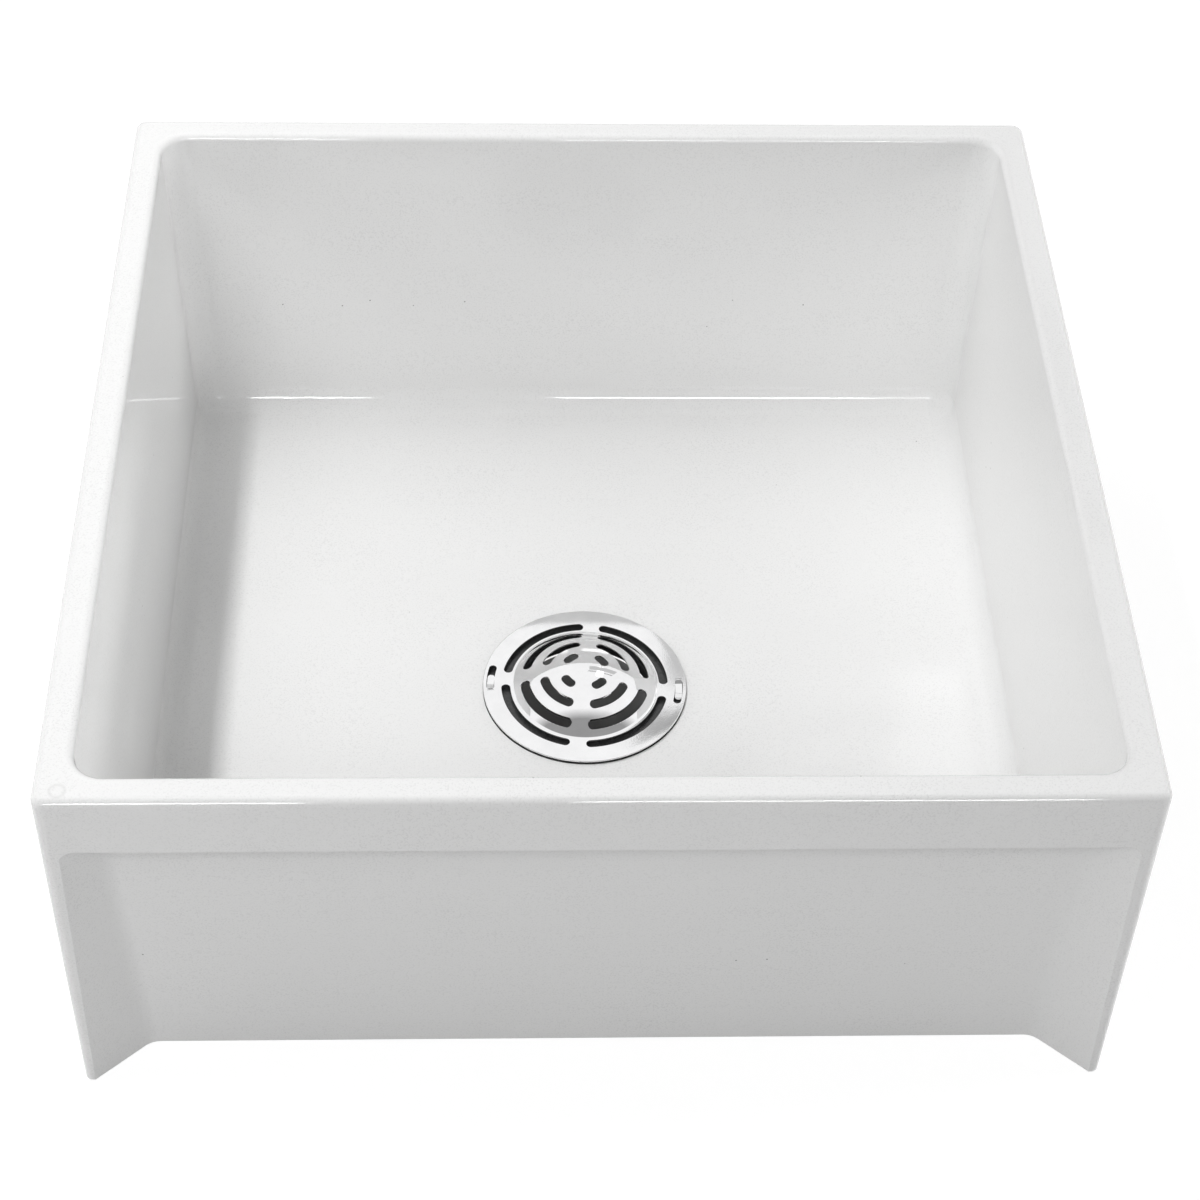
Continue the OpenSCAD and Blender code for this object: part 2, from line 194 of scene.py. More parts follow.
def angle(label, text, degrees):
    return FloatProperty(name=label, description=text, default=math.radians(degrees),
                         subtype="ANGLE", unit="ROTATION")


def factor(label, text, default):
    return FloatProperty(name=label, description=text, default=default, min=0.0, max=1.0, subtype="FACTOR")


def colour(label, text, default):
    return FloatVectorProperty(name=label, description=text, default=default, size=3, min=0.0, max=1.0,
                               subtype="COLOR")


class MOPBASIN_PG_basin(PropertyGroup):
    width: length("Width", "Width over the rim", BASIN_HIGH.x - BASIN_LOW.x)
    depth: length("Depth", "Depth over the rim", BASIN_HIGH.y - BASIN_LOW.y)
    height: length("Height", "Height of the rim above the floor", BASIN_HIGH.z)
    wall: length("Wall", "Thickness of the moulded shell", 0.0055)
    rim: length("Rim", "Width of the rim up to the line of the bowl's wall", 0.0195)
    lip: length("Lip", "Height of the lip that turns down from the rim", 0.0415)
    skirt_draft: angle("Outside draft", "Draft of the outside faces", 0.3)
    bowl_draft: angle("Bowl draft", "Draft of the back and side walls", 1.75)
    front_draft: angle("Front draft", "Draft of the bowl's front wall", 3.25)
    corner_top: length("Rim corners", "Radius of the outside corners at the rim", 0.0075)
    corner_foot: length("Foot corners", "Radius of the outside corners at the floor", 0.0045)
    rim_edge: length("Rim edge", "Rounding of the rim's outside edge", 0.0055)
    bowl_corner: length("Bowl corners", "Radius of the bowl's upright corners", 0.018)
    floor_fillet: length("Floor fillet", "Rounding where the walls meet the floor", 0.0175)
    bowl_edge: length("Bowl edge", "Rounding of the bowl's top edge", 0.005)
    floor_fall: length("Fall", "Fall of the floor from the walls to the drain", 0.008)
    drain_floor: length("Floor at the drain", "Height of the bowl's floor beside the drain", 0.0126)
    leg_top: length("Leg top", "Width of a leg's face just under the lip", 0.0105)
    leg_foot: length("Leg foot", "Width of a leg's face at the floor", 0.006)
    leg_root: length("Leg root", "Distance from the bowl's outside corner to the root of a leg", 0.0165)
    leg_fillet: length("Leg fillet", "Rounding between a leg and the face beside it", 0.014)
    recess_corner: length("Recess corners", "Rounding of a recess's upper corners", 0.010)
    rib: length("Rib", "Thickness of the ribs under the floor", 0.004)
    rib_pitch: length("Rib pitch", "Greatest distance from rib to rib", 0.062)
    pad: length("Pad", "Thickness of the floor under the drain's seat", 0.0032)
    hole_radius: length("Hole radius", "Radius of the hole for the drain's tail", 0.05445)
    seat_radius: length("Seat radius", "Radius of the drain's seat in the floor", 0.0688)
    shell_colour: colour("Colour", "Colour of the moulded shell", (0.90, 0.90, 0.897))
    speck_colour: colour("Speck colour", "Colour of the fine specks in the shell", (0.60, 0.60, 0.60))
    gloss: factor("Roughness", "Roughness of the moulded surface", 0.06)
    coat: factor("Gel coat", "How far the clear gel coat mirrors at a low angle", 0.15)


class MOPBASIN_PG_strainer(PropertyGroup):
    radius: length("Radius", "Radius of the strainer's flange", STRAINER_R)
    flange_top: length("Flange height", "Height of the flange's upper face", 0.0153)
    sheet: length("Sheet", "Thickness of the sheet", 0.0012)
    edge: length("Edge", "Rounding of the flange's edge", 0.00045)
    dome: length("Dome", "Radius of the dome where it leaves the flange", 0.048)
    rise: length("Rise", "Rise of the dome above the flange", 0.0148)
    bend: length("Bend", "Radius of the bend between the dome and the flange", 0.003)
    slot: length("Slots", "Width of the slots", 0.0061)
    first_row: length("First row", "Radius of the outermost row of slots", 0.0532)
    row_pitch: length("Row pitch", "Distance between the rows of slots", 0.0128)
    spoke: length("Spokes", "Width of the spokes between the slots", 0.0108)
    spoke_turn: angle("Spoke turn", "Angle that the spokes stand clockwise of square", 6.0)
    tongue: length("Tongue", "Width of the tongues' openings", 0.0052)
    tongue_radius: length("Tongue radius", "Distance of the tongues from the middle", 0.0636)
    tongue_span: angle("Tongue span", "Angle that a tongue's opening spans", 20.0)
    tongue_drop: length("Tongue drop", "Height of the step from the flange down to a tongue", 0.0028)
    steel_colour: colour("Colour", "Colour of the polished steel", (0.90, 0.90, 0.905))


# Each lamp: name, place, the point it faces, width and height of its panel, power. No gloss shows them.
LAMPS = (
    ("overhead_lamp_near", (-0.65, 0.3, 2.1), (-0.65, 0.3, 0.0), 0.13, 0.7, 12.6),
    ("overhead_lamp_middle", (-0.65, 1.0, 2.1), (-0.65, 1.0, 0.0), 0.13, 0.7, 11.4),
    ("overhead_lamp_far", (-0.65, 1.6, 2.1), (-0.65, 1.6, 0.0), 0.13, 0.5, 5.2),
    ("front_left_lamp", (-0.9, -1.3, 1.9), (0.0, 0.0, 0.1), 0.8, 0.8, 9.6),
    ("front_lamp", (-0.3, -2.2, 1.6), (0.0, 0.0, 0.1), 1.0, 0.8, 5.4),
    ("front_top_lamp", (0.0, -2.2, 2.6), (0.0, 0.0, 0.1), 1.2, 0.8, 18.8),
    ("left_lamp", (-1.6, -0.2, 0.8), (0.0, 0.0, 0.1), 0.6, 0.6, 4.8),
    ("right_lamp", (2.9, 0.35, 1.12), (0.0, 0.0, 0.2), 1.0, 0.5, 41.0),
)

# Small lamps that only the gloss shows: they draw the bright lines along the bowl's fillets.
STRIPS = (
    ("left_strip", (-0.38, -1.31, 0.78), (-0.38, 0.28, 0.04), 0.26, 0.16, 2.8),
    ("right_strip", (0.265, -1.31, 0.78), (0.265, 0.28, 0.04), 0.50, 0.16, 4.2),
    ("back_strip", (0.50, 1.5, 1.72), (0.27, 0.0, 0.02), 0.20, 0.5, 0.25),
)

# Grey cards that stand behind the basin and show in the strainer's flange: corners as (x, z), and level.
CARDS = (
    ("side_card", ((0.175, 1.40), (0.9, 1.40), (0.9, 1.655), (0.188, 1.655)), 0.60),
    ("wedge_card", ((0.140, 1.79), (0.163, 1.715), (0.9, 1.76), (0.9, 1.83)), 0.44),
)


class MOPBASIN_PG_stage(PropertyGroup):
    lens: FloatProperty(name="Lens", description="Focal length on a 36 mm sensor", default=80.587, min=1.0,
                        subtype="DISTANCE_CAMERA")
    lamps: FloatProperty(name="Lamps", description="Level of all the lamps together", default=1.0, min=0.0)
    air: FloatProperty(name="Room light", description="Strength of the even light from all round",
                       default=0.02, min=0.0, max=2.0)


# ---------------------------------------------------------------- material helpers


class Wiring:
    """The nodes of a material or a world, built up from none."""

    def __init__(self, owner, output="ShaderNodeOutputMaterial"):
        owner.use_nodes = True
        self.tree = owner.node_tree
        self.tree.nodes.clear()
        self.out = self.add(output)

    def add(self, kind, inputs=None, **settings):
        """A new node, with its settings and the values of its inputs by name or number."""
        node = self.tree.nodes.new(kind)
        for key, value in settings.items():
            setattr(node, key, value)
        for key, value in (inputs or {}).items():
            node.inputs[key].default_value = value
        return node

    def link(self, source, out, target, into):
        self.tree.links.new(source.outputs[out], target.inputs[into])

    def ramp(self, source, out, stops):
        """A colour ramp through stops given as (position, grey or colour)."""
        node = self.add("ShaderNodeValToRGB")
        ramp = node.color_ramp
        while len(ramp.elements) < len(stops):
            ramp.elements.new(0.5)
        for element, (at, shade) in zip(ramp.elements, stops):
            element.position = at
            element.color = tuple(shade) + (1.0,) if hasattr(shade, "__len__") else (shade, shade, shade, 1.0)
        self.link(source, out, node, "Fac")
        return node

    def mix(self, fac, a, b, blend="MIX"):
        """Two colours mixed by a number. Each may be a (node, output) pair, and the result is output 2."""
        node = self.add("ShaderNodeMix", data_type="RGBA", blend_type=blend)
        for socket, value in ((0, fac), (6, a), (7, b)):
            if isinstance(value, tuple) and isinstance(value[0], bpy.types.Node):
                self.link(*value, node, socket)
            elif socket == 0:
                node.inputs[0].default_value = value
            else:
                node.inputs[socket].default_value = tuple(value) + (1.0,)
        return node

    def join(self, kind, first, second):
        """Adds or mixes two shaders."""
        node = self.add(kind)
        low = len(node.inputs) - 2
        self.link(first, 0, node, low)
        self.link(second, 0, node, low + 1)
        return node

    def seen(self, scale=1.0):
        """Scale where a surface is seen straight, in a mirror or through glass, and 0 for other light."""
        path = self.add("ShaderNodeLightPath")
        first = self.add("ShaderNodeMath", operation="MAXIMUM")
        self.link(path, "Is Camera Ray", first, 0)
        self.link(path, "Is Glossy Ray", first, 1)
        second = self.add("ShaderNodeMath", operation="MAXIMUM")
        self.link(first, 0, second, 0)
        self.link(path, "Is Transmission Ray", second, 1)
        third = self.add("ShaderNodeMath", {1: scale}, operation="MULTIPLY")
        self.link(second, 0, third, 0)
        return third


class Finish(Wiring):
    """A node material that is built up from its principled shader."""

    def __init__(self, name, **inputs):
        self.material = bpy.data.materials.new(name)
        super().__init__(self.material)
        self.shader = self.add("ShaderNodeBsdfPrincipled", inputs)
        self.link(self.shader, "BSDF", self.out, "Surface")
        self.place = self.add("ShaderNodeTexCoord")

    def noise(self, scale, detail=3.0, roughness=0.5, stretch=None):
        node = self.add("ShaderNodeTexNoise", {"Scale": scale, "Detail": detail, "Roughness": roughness})
        source, out = self.place, "Object"
        if stretch:
            source, out = self.add("ShaderNodeMapping", {"Scale": stretch}), "Vector"
            self.link(self.place, "Object", source, "Vector")
        self.link(source, out, node, "Vector")
        return node

    def cells(self, scale):
        node = self.add("ShaderNodeTexVoronoi", {"Scale": scale})
        self.link(self.place, "Object", node, "Vector")
        return node

    def ring(self, centre, radius, width):
        """1 along the edge of a small round mark about a point, and 0 away from it."""
        reach = 0.01
        away = self.add("ShaderNodeVectorMath", {1: centre}, operation="DISTANCE")
        self.link(self.place, "Object", away, 0)
        span = self.add("ShaderNodeMapRange", {"From Max": reach})
        self.link(away, "Value", span, "Value")
        edge, soft = radius / reach, width / reach
        return self.ramp(span, "Result", [(edge - soft, 0.06), (edge, 0.55), (edge + soft, 0.0)])

    def spread(self, source, low, high):
        """Turns a texture's Fac into a value between low and high."""
        node = self.add("ShaderNodeMapRange", {"To Min": low, "To Max": high})
        self.link(source, "Fac", node, "Value")
        return node

    def paint(self, source, stops):
        """Base colour from a texture's Fac."""
        self.link(self.ramp(source, "Fac", stops), "Color", self.shader, "Base Color")

    def rough(self, source, low, high):
        """Roughness between low and high, from a texture's Fac."""
        node = self.spread(source, low, high)
        self.link(node, "Result", self.shader, "Roughness")
        return node

    def bump(self, source, strength, distance):
        """Fine relief from a texture's Fac."""
        node = self.add("ShaderNodeBump", {"Strength": strength, "Distance": distance})
        self.link(source, "Fac", node, "Height")
        self.link(node, "Normal", self.shader, "Normal")
        return node


def dress(obj, material):
    """Puts one material in every slot of an object."""
    if not obj.data.materials:
        obj.data.materials.append(material)
    for slot in obj.material_slots:
        slot.material = material


def moulded_shell(settings):
    """Glossy white moulded stone resin: fine grey specks, a few darker ones, and faint clouding."""
    finish = Finish("moulded_white_shell", IOR=1.55)
    shell = tuple(settings.shell_colour)
    specks = finish.noise(900.0, 2.0, 0.6)
    fine = finish.ramp(specks, "Fac", [(0.36, tuple(settings.speck_colour)), (0.47, shell)])
    clouds = finish.noise(14.0, 4.0, 0.55)
    amount = finish.spread(clouds, 0.0, 0.45)
    speckled = finish.mix((amount, "Result"), shell, (fine, "Color"))
    dots = finish.cells(160.0)
    near = finish.ramp(dots, "Distance", [(0.06, 1.0), (0.11, 0.0)])
    pick = finish.ramp(dots, "Color", [(0.90, 0.0), (0.92, 1.0)])
    both = finish.mix(1.0, (near, "Color"), (pick, "Color"), "MULTIPLY")
    dark = finish.mix((both, 2), (speckled, 2), (0.33, 0.33, 0.32))
    mark = finish.ring(MARK_AT, MARK_R, MARK_WIDTH)
    marked = finish.mix((mark, "Color"), (dark, 2), (0.72, 0.72, 0.715))
    finish.link(marked, 2, finish.shader, "Base Color")
    smear = finish.noise(26.0, 5.0, 0.6)
    rough = finish.rough(smear, settings.gloss * 0.65, settings.gloss * 1.45)
    peel = finish.noise(130.0, 2.0, 0.4)
    wave = finish.bump(peel, 0.015, 0.0004)
    skin = finish.add("ShaderNodeBsdfGlossy")
    finish.link(rough, "Result", skin, "Roughness")
    finish.link(wave, "Normal", skin, "Normal")
    slant = finish.add("ShaderNodeLayerWeight")
    share = finish.ramp(slant, "Facing", [(0.55, 0.0), (0.92, settings.coat)])
    coat = finish.join("ShaderNodeMixShader", finish.shader, skin)
    finish.link(share, "Color", coat, "Fac")
    finish.link(coat, "Shader", finish.out, "Surface")
    return finish.material


def polished_steel(settings):
    """Polished stainless sheet: a clear mirror with faint turning marks and smears."""
    finish = Finish("polished_stainless", Metallic=1.0)
    steel = Vector(settings.steel_colour)
    smear = finish.noise(60.0, 4.0, 0.6)
    finish.paint(smear, [(0.3, tuple(steel * 0.96)), (0.7, tuple(steel * 1.03))])
    finish.rough(smear, 0.015, 0.06)
    finish.bump(finish.noise(1400.0, 2.0, 0.5), 0.04, 0.0001)
    return finish.material


def black_plastic():
    """Black moulded drain plastic with a light gloss."""
    finish = Finish("black_drain_plastic", IOR=1.49)
    grain = finish.noise(420.0, 3.0, 0.5)
    finish.paint(grain, [(0.3, (0.035, 0.035, 0.036)), (0.75, (0.06, 0.06, 0.061))])
    finish.rough(grain, 0.16, 0.30)
    finish.bump(grain, 0.1, 0.0001)
    return finish.material


def black_rubber():
    """Matt black rubber with a dusty bloom."""
    finish = Finish("black_rubber", IOR=1.5)
    bloom = finish.noise(90.0, 5.0, 0.65)
    finish.paint(bloom, [(0.35, (0.014, 0.014, 0.014)), (0.8, (0.045, 0.044, 0.043))])
    finish.rough(bloom, 0.62, 0.85)
    finish.bump(finish.noise(700.0, 2.0, 0.5), 0.25, 0.0002)
    return finish.material


def pressed_fibre():
    """Tan pressed fibre with short stray strands."""
    finish = Finish("pressed_fibre")
    strands = finish.noise(260.0, 5.0, 0.7, (1.0, 3.2, 1.0))
    finish.paint(strands, [(0.3, (0.30, 0.21, 0.12)), (0.7, (0.52, 0.40, 0.25))])
    finish.rough(strands, 0.7, 0.9)
    finish.bump(strands, 0.3, 0.0002)
    return finish.material


# ---------------------------------------------------------------- mesh helpers


def round_outline(half_x, half_y, radius, shift=0.0, arc=14, side=10):
    """A rounded rectangle's points, anticlockwise from the right-hand side, moved by shift in Y."""
    arcs = []
    for quarter in range(4):
        across = 1 if quarter in (0, 3) else -1
        along = 1 if quarter < 2 else -1
        hub = Vector((across * (half_x - radius), shift + along * (half_y - radius)))
        turns = [math.pi / 2 * (quarter + step / arc) for step in range(arc + 1)]
        arcs.append([hub + radius * Vector((math.cos(turn), math.sin(turn))) for turn in turns])
    points = []
    for quarter in range(4):
        end, start = arcs[quarter][-1], arcs[(quarter + 1) % 4][0]
        points += arcs[quarter] + [end.lerp(start, step / side) for step in range(1, side)]
    return points


def round_corner(before, corner, after, radius, steps):
    """Points of the arc that rounds a corner."""
    into, away = (before - corner).normalized(), (after - corner).normalized()
    half = into.angle(away) / 2
    hub = corner + (into + away).normalized() * radius / math.sin(half)
    first = corner + into * radius / math.tan(half) - hub
    last = corner + away * radius / math.tan(half) - hub
    return [hub + first.lerp(last, step / steps).normalized() * radius for step in range(steps + 1)]


def circle(radius, steps=128):
    turns = [2 * math.pi * step / steps for step in range(steps)]
    return [Vector((radius * math.cos(turn), radius * math.sin(turn))) for turn in turns]


def make_object(name, mesh):
    obj = bpy.data.objects.new(name, mesh)
    bpy.context.scene.collection.objects.link(obj)
    return obj


def loft(name, *stacks):
    """Closed skins, each through a stack of outlines given as (height, points)."""
    build = bmesh.new()
    for rings in stacks:
        rows = [[build.verts.new((point.x, point.y, height)) for point in points] for height, points in rings]
        count = len(rows[0])
        for low, high in zip(rows, rows[1:]):
            for here in range(count):
                there = (here + 1) % count
                build.faces.new((low[here], low[there], high[there], high[here]))
        build.faces.new(list(reversed(rows[0])))
        build.faces.new(rows[-1])
    return finish_mesh(name, build)


def block(build, low, high):
    """Adds a box to a bmesh that is being built."""
    corners = [build.verts.new((x, y, z)) for z in (low[2], high[2])
               for x, y in ((low[0], low[1]), (high[0], low[1]), (high[0], high[1]), (low[0], high[1]))]
    for face in ((3, 2, 1, 0), (4, 5, 6, 7), (0, 1, 5, 4), (1, 2, 6, 5), (2, 3, 7, 6), (3, 0, 4, 7)):
        build.faces.new([corners[index] for index in face])


def finish_mesh(name, build):
    bmesh.ops.recalc_face_normals(build, faces=build.faces)
    mesh = bpy.data.meshes.new(name)
    build.to_mesh(mesh)
    build.free()
    return make_object(name, mesh)


def bake(obj):
    """Applies an object's modifiers."""
    graph = bpy.context.evaluated_depsgraph_get()
    mesh = bpy.data.meshes.new_from_object(obj.evaluated_get(graph))
    obj.modifiers.clear()
    obj.data = mesh
    return obj


def combine(target, tool, how):
    """Cuts one solid with another, or joins them, and removes the second."""
    modifier = target.modifiers.new("combine", "BOOLEAN")
    modifier.operation = how
    modifier.solver = "EXACT"
    modifier.object = tool
    bake(target)
    bpy.data.objects.remove(tool)
    return target


def smooth(obj, degrees):
    """Shades an object smooth up to an angle, with flat faces kept flat."""
    for face in obj.data.polygons:
        face.use_smooth = True
    obj.data.set_sharp_from_angle(angle=math.radians(degrees))
    weights = obj.modifiers.new("weights", "WEIGHTED_NORMAL")
    weights.keep_sharp = True
    weights.weight = 100
    return bake(obj)


def soften(obj, width, steps, degrees):
    """Rounds an object's sharp edges."""
    bevel = obj.modifiers.new("soften", "BEVEL")
    bevel.width = width
    bevel.segments = steps
    bevel.limit_method = "ANGLE"
    bevel.angle_limit = math.radians(degrees)
    return bake(obj)


# ---------------------------------------------------------------- basin form


class BasinForm:
    """The heights, insets and outlines that the basin's surfaces share.

    Solids that are joined on end at different depths below the ground, and cutters from below run past
    them, so that no two end faces lie in one plane. The last cut takes off everything below the ground.
    """

    def __init__(self, sizes):
        self.s = sizes
        self.half_x, self.half_y, self.top = sizes.width / 2, sizes.depth / 2, sizes.height
        self.floor_z = sizes.drain_floor + sizes.floor_fall
        self.drain_r = sizes.seat_radius + SEAT_MARGIN
        run = min(self.half_x, self.half_y) - sizes.rim - sizes.floor_fillet - self.drain_r
        self.slope = math.atan(sizes.floor_fall / run)
        self.fillet_z = self.floor_z + sizes.floor_fillet * math.cos(self.slope)
        self.under_rim = self.top - max(sizes.wall, sizes.rim_edge + 0.0005)

    def face_in(self, z):
        """How far in from the rim's edge an outside face lies, at a height."""
        return (self.top - z) * math.tan(self.s.skirt_draft)

    def bowl_in(self, z):
        """How far in the bowl's wall lies."""
        return self.s.rim + (self.top - z) * math.tan(self.s.bowl_draft)

    def skin_in(self, z):
        """How far in the outer side of the bowl's wall lies."""
        return self.bowl_in(z) - self.s.wall

    def front_more(self, z):
        """How much farther in the bowl's front wall lies than the other three."""
        return (self.top - z) * (math.tan(self.s.front_draft) - math.tan(self.s.bowl_draft))

    def corner(self, z):
        """Radius of the outside corners at a height."""
        more = self.s.corner_top - self.s.corner_foot
        return self.s.corner_foot + more * z / (self.top - self.s.rim_edge)

    def square(self, inset, radius):
        return round_outline(self.half_x - inset, self.half_y - inset, radius)

    def bowl(self, z, inset, radius):
        more = self.front_more(z) / 2
        return round_outline(self.half_x - inset, self.half_y - inset - more, radius, more)

    def outside(self):
        """The whole outside, as a solid with a rounded top edge."""
        edge, edge_z = self.s.rim_edge, self.top - self.s.rim_edge
        rings = [(z, self.square(self.face_in(z), self.corner(z))) for z in (-MM, self.top - self.s.lip)]
        for step in range(9):
            turn = math.pi / 2 * step / 8
            pull = edge * (1 - math.cos(turn))
            rings.append((edge_z + edge * math.sin(turn),
                          self.square(self.face_in(edge_z) + pull, self.s.corner_top - pull)))
        return loft("mop_basin", rings)

    def under_rim_space(self):
        """The room inside the outer skin, below the rim."""
        inner = max(self.s.corner_top - self.s.wall, MM)
        return loft("cut", [(z, self.square(self.face_in(z) + self.s.wall, inner))
                            for z in (-2 * MM, self.under_rim)])

    def bowl_skin(self):
        """The outer side of the bowl's wall, as a solid."""
        radius = self.s.bowl_corner + self.s.wall
        return loft("join", [(z, self.bowl(z, self.skin_in(z), radius))
                             for z in (-3 * MM, self.top - self.s.wall / 2)])

    def room(self):
        """The bowl's inside: sloped floor, fillet, walls and rounded top edge."""
        s, edge_z, start = self.s, self.top - self.s.bowl_edge, math.pi / 2 - self.slope
        rings = []
        for step in range(15):
            turn = start - (start - s.bowl_draft) * step / 14
            pull = s.floor_fillet * (1 / math.cos(s.bowl_draft) - math.cos(turn))
            z = self.fillet_z - s.floor_fillet * math.sin(turn)
            rings.append((z, self.bowl(z, self.bowl_in(self.fillet_z) + pull, max(s.bowl_corner - pull, MM))))
        drain = round_outline(self.drain_r, self.drain_r, self.drain_r - MM)
        foot_z, foot = rings[0]
        floor = []
        for step in range(12):
            part = step / 12
            floor.append((s.drain_floor + (foot_z - s.drain_floor) * part,
                          [a.lerp(b, part) for a, b in zip(drain, foot)]))
        for step in range(11):
            turn = s.bowl_draft + (math.pi / 2 - s.bowl_draft) * step / 10
            flare = s.bowl_edge * (1 / math.cos(s.bowl_draft) - math.cos(turn))
            z = edge_z + s.bowl_edge * math.sin(turn)
            rings.append((z, self.bowl(z, self.bowl_in(edge_z) - flare, s.bowl_corner + flare)))
        mouth = self.square(self.bowl_in(edge_z) - s.bowl_edge, s.bowl_corner + s.bowl_edge)
        rings.append((self.top + MM, mouth))
        return loft("cut", floor + rings)

    def recess(self, turn):
        """The pocket in one outside face, from the floor up to the lip."""
        build = bmesh.new()
        top = self.top - self.s.lip
        half_w, half_d = (self.half_x, self.half_y) if turn % 2 == 0 else (self.half_y, self.half_x)
        foot, corner = (Vector((half_w - self.face_in(z) - self.leg_face(z) + 0.6 * MM, z))
                        for z in (-2 * MM, top))
        side = [foot] + round_corner(foot, corner, Vector((0, top)), self.s.recess_corner, 10)
        outline = side + [Vector((-point.x, point.y)) for point in reversed(side)]
        depth = self.s.wall + self.face_in(0) + MM
        spin = Matrix.Rotation(math.pi / 2 * turn, 3, "Z")
        rows = [[build.verts.new(spin @ Vector((point.x, y, point.y))) for point in outline]
                for y in (-half_d - MM, -half_d + depth)]
        build.faces.new(rows[0])
        build.faces.new(list(reversed(rows[1])))
        for here in range(len(outline)):
            there = (here + 1) % len(outline)
            build.faces.new((rows[0][there], rows[0][here], rows[1][here], rows[1][there]))
        return finish_mesh("cut", build)

    def leg_face(self, z):
        """Width of a leg's outside face at a height."""
        return self.s.leg_foot + (self.s.leg_top - self.s.leg_foot) * z / (self.top - self.s.lip)

    def leg_outline(self, z, front):
        """A leg's section at a height, from its outside corner into the bowl's wall."""
        ox, oy = self.half_x - self.face_in(z), self.half_y - self.face_in(z)
        wx, wy = self.half_x - self.skin_in(z), self.half_y - self.skin_in(z) - front * self.front_more(z)
        face, radius = self.leg_face(z), self.corner(z)
        deep = self.s.bowl_corner + self.s.wall + self.s.leg_fillet
        nose_y, nose_x = Vector((ox - face, oy)), Vector((ox, oy - face))
        root_y, root_x = Vector((wx - self.s.leg_root, wy)), Vector((wx, wy - self.s.leg_root))
        far_y, far_x = Vector((wx - deep, wy)), Vector((wx, wy - deep))
        turns = [math.pi / 2 * step / 12 for step in range(13)]
        return ([Vector((ox - radius + radius * math.cos(turn), oy - radius + radius * math.sin(turn)))
                 for turn in turns] + [nose_y] + round_corner(nose_y, root_y, far_y, self.s.leg_fillet, 12)
                + [far_y, Vector((wx - deep, wy - deep)), far_x]
                + round_corner(far_x, root_x, nose_x, self.s.leg_fillet, 12) + [nose_x])

    def core_outline(self, z, front):
        """The hollow inside a leg at a height."""
        wall = self.s.wall
        ox, oy = (half - self.face_in(z) - 1.3 * wall for half in (self.half_x, self.half_y))
        back = self.skin_in(z) + 1.2 * wall
        wx, wy = self.half_x - back, self.half_y - back - front * self.front_more(z)
        tip, root = 0.6 * MM, self.s.leg_root / 2 - wall / math.sqrt(2)
        return [Vector((ox + tip, oy - tip)), Vector((ox - tip, oy + tip)),
                Vector((wx - root, wy + root)), Vector((wx + root, wy - root))]

    def corners(self, name, outline, heights):
        """A loft at each of the four corners, from its outline in the right-hand back corner."""
        stacks = []
        for across, along in ((1, 1), (-1, 1), (1, -1), (-1, -1)):
            front = 1 if along < 0 else 0
            ends = [outline(z, front) for z in heights]
            low, high = heights
            stacks.append([(low + (high - low) * part / 4,
                            [Vector((across * a.lerp(b, part / 4).x, along * a.lerp(b, part / 4).y))
                             for a, b in zip(*ends)]) for part in range(5)])
        return loft(name, *stacks)

    def legs(self):
        """The four legs as solids, up to the rim."""
        return self.corners("join", self.leg_outline, (-2 * MM, self.top - self.s.rim_edge))

    def leg_cores(self):
        """The hollows inside the four legs."""
        return self.corners("cut", self.core_outline, (-4 * MM, self.under_rim))

    def under_floor(self):
        """The room under the bowl's floor, with the ribs, the ring and the seat's boss left standing."""
        s, hub = self.s, self.s.seat_radius + RING_MARGIN
        under, rib = self.floor_z - s.wall, s.rib
        shoulder = self.bowl_in(under) + 0.8 * s.floor_fillet
        hub_ring = round_outline(hub, hub, hub - MM)
        space = loft("cut", [
            (-5 * MM, self.bowl(0, self.bowl_in(0) + MM, s.bowl_corner)),
            (under * 0.4, self.bowl(0, self.bowl_in(0) + 3 * MM, s.bowl_corner - 2 * MM)),
            (under, self.bowl(0, shoulder, s.bowl_corner / 2)),
            (s.drain_floor - s.wall, hub_ring)])
        for half_a, half_b, across in ((self.half_x, self.half_y, True), (self.half_y, self.half_x, False)):
            reach = half_a - self.bowl_in(0)
            count = math.ceil((reach - s.rib_pitch / 2) / s.rib_pitch)
            pitch = reach / (count + 0.5)
            build = bmesh.new()
            for index in range(count + 1):
                for side in (-1, 1):
                    middle = side * (index + 0.5) * pitch
                    low, high = (middle - rib / 2, -half_b), (middle + rib / 2, half_b)
                    if not across:
                        low, high = (-half_b, middle - rib / 2), (half_b, middle + rib / 2)
                    block(build, (*low, -6 * MM), (*high, self.floor_z))
            ribs = finish_mesh("ribs", build)
            inside = [(z, circle(hub + rib / 2)) for z in (-8 * MM, self.floor_z + MM)]
            combine(ribs, loft("cut", inside), "DIFFERENCE")
            combine(space, ribs, "DIFFERENCE")
        wall = loft("ring", [(z, circle(hub + rib)) for z in (-7 * MM, s.drain_floor)])
        combine(wall, loft("cut", [(z, circle(hub)) for z in (-9 * MM, SEAT_Z - s.pad)]), "DIFFERENCE")
        return combine(space, wall, "DIFFERENCE")

    def make(self):
        basin = self.outside()
        combine(basin, self.under_rim_space(), "DIFFERENCE")
        for turn in range(4):
            combine(basin, self.recess(turn), "DIFFERENCE")
        combine(basin, self.bowl_skin(), "UNION")
        combine(basin, self.legs(), "UNION")
        combine(basin, self.room(), "DIFFERENCE")
        combine(basin, self.leg_cores(), "DIFFERENCE")
        combine(basin, self.under_floor(), "DIFFERENCE")
        for radius, low in ((self.s.seat_radius, SEAT_Z), (self.s.hole_radius, -MM)):
            combine(basin, loft("cut", [(z, circle(radius)) for z in (low, FLOOR_CUT)]), "DIFFERENCE")
        build = bmesh.new()
        block(build, (-1, -1, -1), (1, 1, 0))
        return combine(basin, finish_mesh("cut", build), "DIFFERENCE")


# ---------------------------------------------------------------- strainer form


